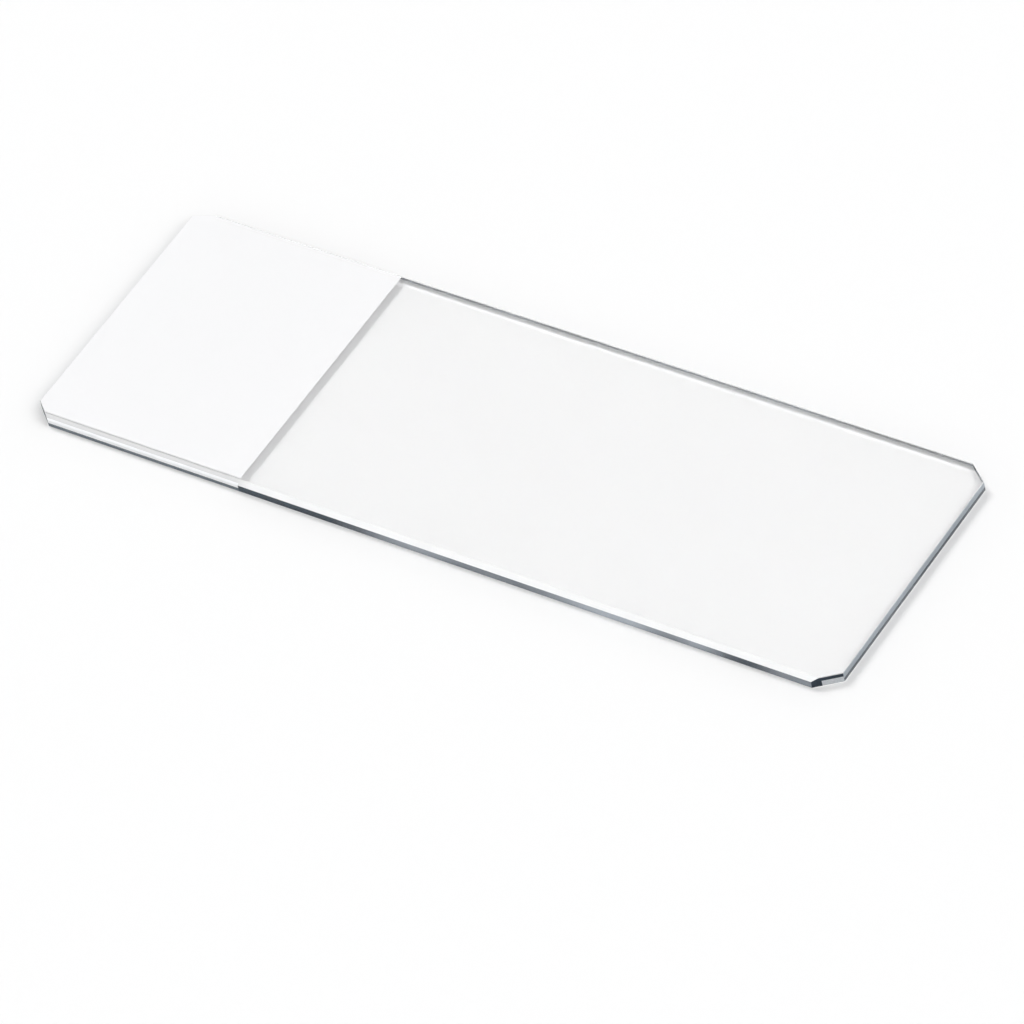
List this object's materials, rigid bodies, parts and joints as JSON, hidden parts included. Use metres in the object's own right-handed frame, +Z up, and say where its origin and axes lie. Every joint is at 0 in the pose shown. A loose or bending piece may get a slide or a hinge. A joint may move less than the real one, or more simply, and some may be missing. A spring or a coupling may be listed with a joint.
{
  "type": "microscope slide",
  "caption": "Thin flat glass slide with clipped corners and bevelled long edges, clear over most of its length, with an opaque white marking coat on one end.",
  "frame": {"origin": "middle of the face that lies on the stage", "axes": "+X along the length from the printed end to the plain end, +Y across the width to the far side, +Z up"},
  "size_m": [0.075, 0.025, 0.001],
  "materials": {
    "glass": "clear float glass with cut ends and ground bevels",
    "white_ink": "matte white printed ink"
  },
  "bodies": {
    "root": {"glass_plate": "glass", "marking_coat": "white_ink"}
  },
  "joints": []
}
